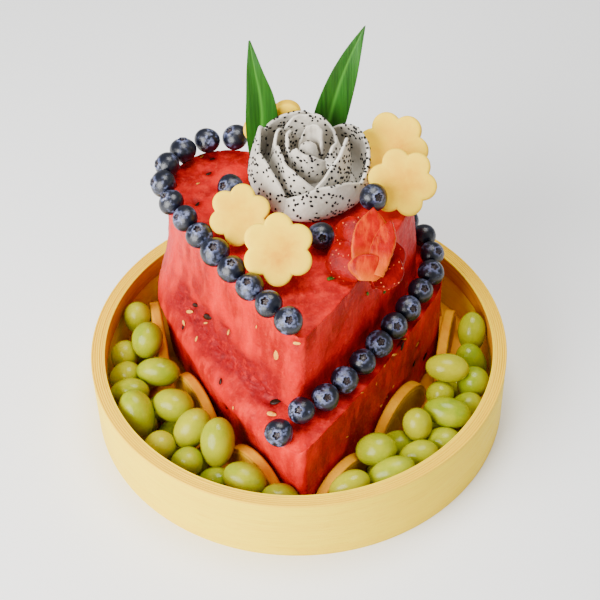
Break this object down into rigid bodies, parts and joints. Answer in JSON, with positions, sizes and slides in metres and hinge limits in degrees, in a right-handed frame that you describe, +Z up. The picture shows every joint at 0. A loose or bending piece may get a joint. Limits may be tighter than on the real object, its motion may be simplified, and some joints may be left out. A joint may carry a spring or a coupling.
{
  "type": "watermelon cake",
  "caption": "Two-tier heart of watermelon in a round bamboo dish, dressed with grapes, orange slices, blueberries, melon flowers, fruit roses and pandan leaves.",
  "frame": {"origin": "centre of the dish's flat underside, where it rests", "axes": "+Z up; the heart's tip points to -Y, its two lobes and the leaves are at +Y"},
  "size_m": [0.25, 0.25, 0.2135],
  "materials": {
    "bamboo": "satin varnish",
    "watermelon_flesh": "wet cut flesh",
    "blueberry_skin": "waxy bloom",
    "grape_skin": "smooth skin",
    "orange_peel": "pitted peel",
    "melon_slice": "smooth cut flesh",
    "dragon_fruit_flesh": "matt cut flesh",
    "strawberry_flesh": "wet",
    "pandan_leaf": "satin leaf"
  },
  "bodies": {
    "root": {"bamboo_dish": "bamboo", "blueberry_ledge_01": "blueberry_skin", "blueberry_ledge_02": "blueberry_skin", "blueberry_ledge_03": "blueberry_skin", "blueberry_ledge_04": "blueberry_skin", "blueberry_ledge_05": "blueberry_skin", "blueberry_ledge_06": "blueberry_skin", "blueberry_ledge_07": "blueberry_skin", "blueberry_ledge_08": "blueberry_skin", "blueberry_ledge_09": "blueberry_skin", "blueberry_ledge_10": "blueberry_skin", "blueberry_ledge_11": "blueberry_skin", "blueberry_ledge_12": "blueberry_skin", "blueberry_ledge_13": "blueberry_skin", "blueberry_ledge_14": "blueberry_skin", "blueberry_ledge_15": "blueberry_skin", "blueberry_ledge_16": "blueberry_skin", "blueberry_ledge_17": "blueberry_skin", "blueberry_loose_1": "blueberry_skin", "blueberry_loose_2": "blueberry_skin", "blueberry_loose_3": "blueberry_skin", "blueberry_top_01": "blueberry_skin", "blueberry_top_02": "blueberry_skin", "blueberry_top_03": "blueberry_skin", "blueberry_top_04": "blueberry_skin", "blueberry_top_05": "blueberry_skin", "blueberry_top_06": "blueberry_skin", "blueberry_top_07": "blueberry_skin", "blueberry_top_08": "blueberry_skin", "blueberry_top_09": "blueberry_skin", "blueberry_top_10": "blueberry_skin", "blueberry_top_11": "blueberry_skin", "blueberry_top_12": "blueberry_skin", "blueberry_top_13": "blueberry_skin", "dragon_fruit_rose": "dragon_fruit_flesh", "grapes_left": "grape_skin", "grapes_right": "grape_skin", "melon_flower_back": "melon_slice", "melon_flower_back_right": "melon_slice", "melon_flower_front": "melon_slice", "melon_flower_front_left": "melon_slice", "melon_flower_right": "melon_slice", "orange_slice_left_1": "orange_peel", "orange_slice_left_2": "orange_peel", "orange_slice_left_3": "orange_peel", "orange_slice_left_4": "orange_peel", "orange_slice_right_1": "orange_peel", "orange_slice_right_2": "orange_peel", "orange_slice_right_3": "orange_peel", "orange_slice_right_4": "orange_peel", "pandan_leaf_left": "pandan_leaf", "pandan_leaf_right": "pandan_leaf", "strawberry_rose": "strawberry_flesh", "watermelon_lower": "watermelon_flesh", "watermelon_upper": "watermelon_flesh"}
  },
  "joints": []
}
